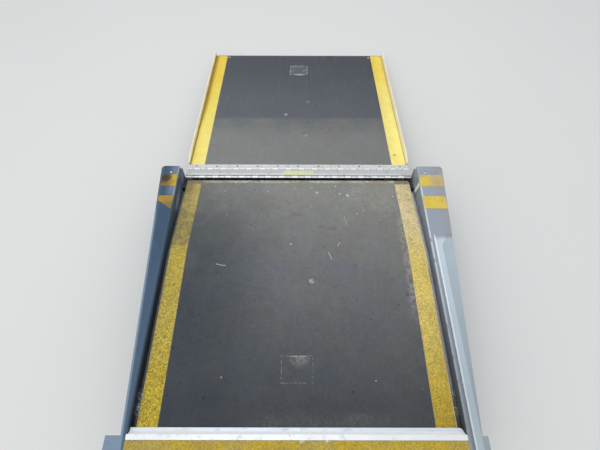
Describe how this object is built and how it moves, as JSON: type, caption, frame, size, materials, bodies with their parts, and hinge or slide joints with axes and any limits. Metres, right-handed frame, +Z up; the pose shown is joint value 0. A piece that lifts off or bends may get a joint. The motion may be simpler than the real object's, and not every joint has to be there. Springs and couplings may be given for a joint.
{
  "type": "fold-out wheelchair ramp",
  "caption": "Manual fold-out wheelchair ramp with its floor well: a sloping fixed panel, a grooved double-hinge link and a kerbed anti-slip flap that folds in flush.",
  "frame": {"origin": "middle of the four flange holes, on the flange's top face", "axes": "+Y out of the doorway along the ramp, +Z up, +X along the sill to the right of someone who looks out"},
  "size_m": [0.9545, 1.7895, 0.1965],
  "materials": {
    "pan_paint": "semi-gloss, scuffed",
    "bare_aluminium": "mill finish, worn",
    "frame_steel": "matt primer",
    "bright_steel": "brushed",
    "grey_grip": "coarse anti-slip grain",
    "yellow_tape": "coarse anti-slip grain, worn",
    "floor_vinyl": "speckled safety floor",
    "cup_paint": "satin"
  },
  "bodies": {
    "well": {"side_pan_left": "pan_paint", "side_pan_right": "pan_paint", "near_pan": "pan_paint", "nosing": "bare_aluminium", "near_band": "yellow_tape", "inner_panel": "bare_aluminium", "inner_grip": "grey_grip", "inner_tape_left": "yellow_tape", "inner_tape_right": "yellow_tape", "panel_ribs": "bare_aluminium", "cross_rails": "frame_steel", "sill_beam": "frame_steel", "sill_hinge_leaf": "frame_steel", "sill_hinge_pin": "bright_steel", "hinge_cheek_left": "pan_paint", "hinge_cheek_right": "pan_paint", "flange_patch_left": "yellow_tape", "flange_patch_right": "yellow_tape"},
    "link": {"link_plate": "bare_aluminium", "outer_hinge_pin": "bright_steel"},
    "flap": {"flap_hinge_leaf": "bare_aluminium", "flap_core": "bare_aluminium", "flap_floor": "floor_vinyl", "flap_tip": "bare_aluminium", "flap_grip": "grey_grip", "flap_tape_left": "yellow_tape", "flap_tape_right": "yellow_tape", "kerb_left": "bare_aluminium", "kerb_right": "bare_aluminium", "handle_cup": "cup_paint", "handle_ring": "bright_steel"}
  },
  "joints": [
    {"name": "sill_hinge", "type": "hinge", "parent": "well", "child": "link", "pos_m": [0, 0.461, -0.066], "axis": [1, 0, 0], "range_deg": [0, 97]},
    {"name": "flap_hinge", "type": "hinge", "parent": "link", "child": "flap", "pos_m": [0, 0.50467, -0.07136], "axis": [1, 0, 0], "range_deg": [0, 90]}
  ]
}
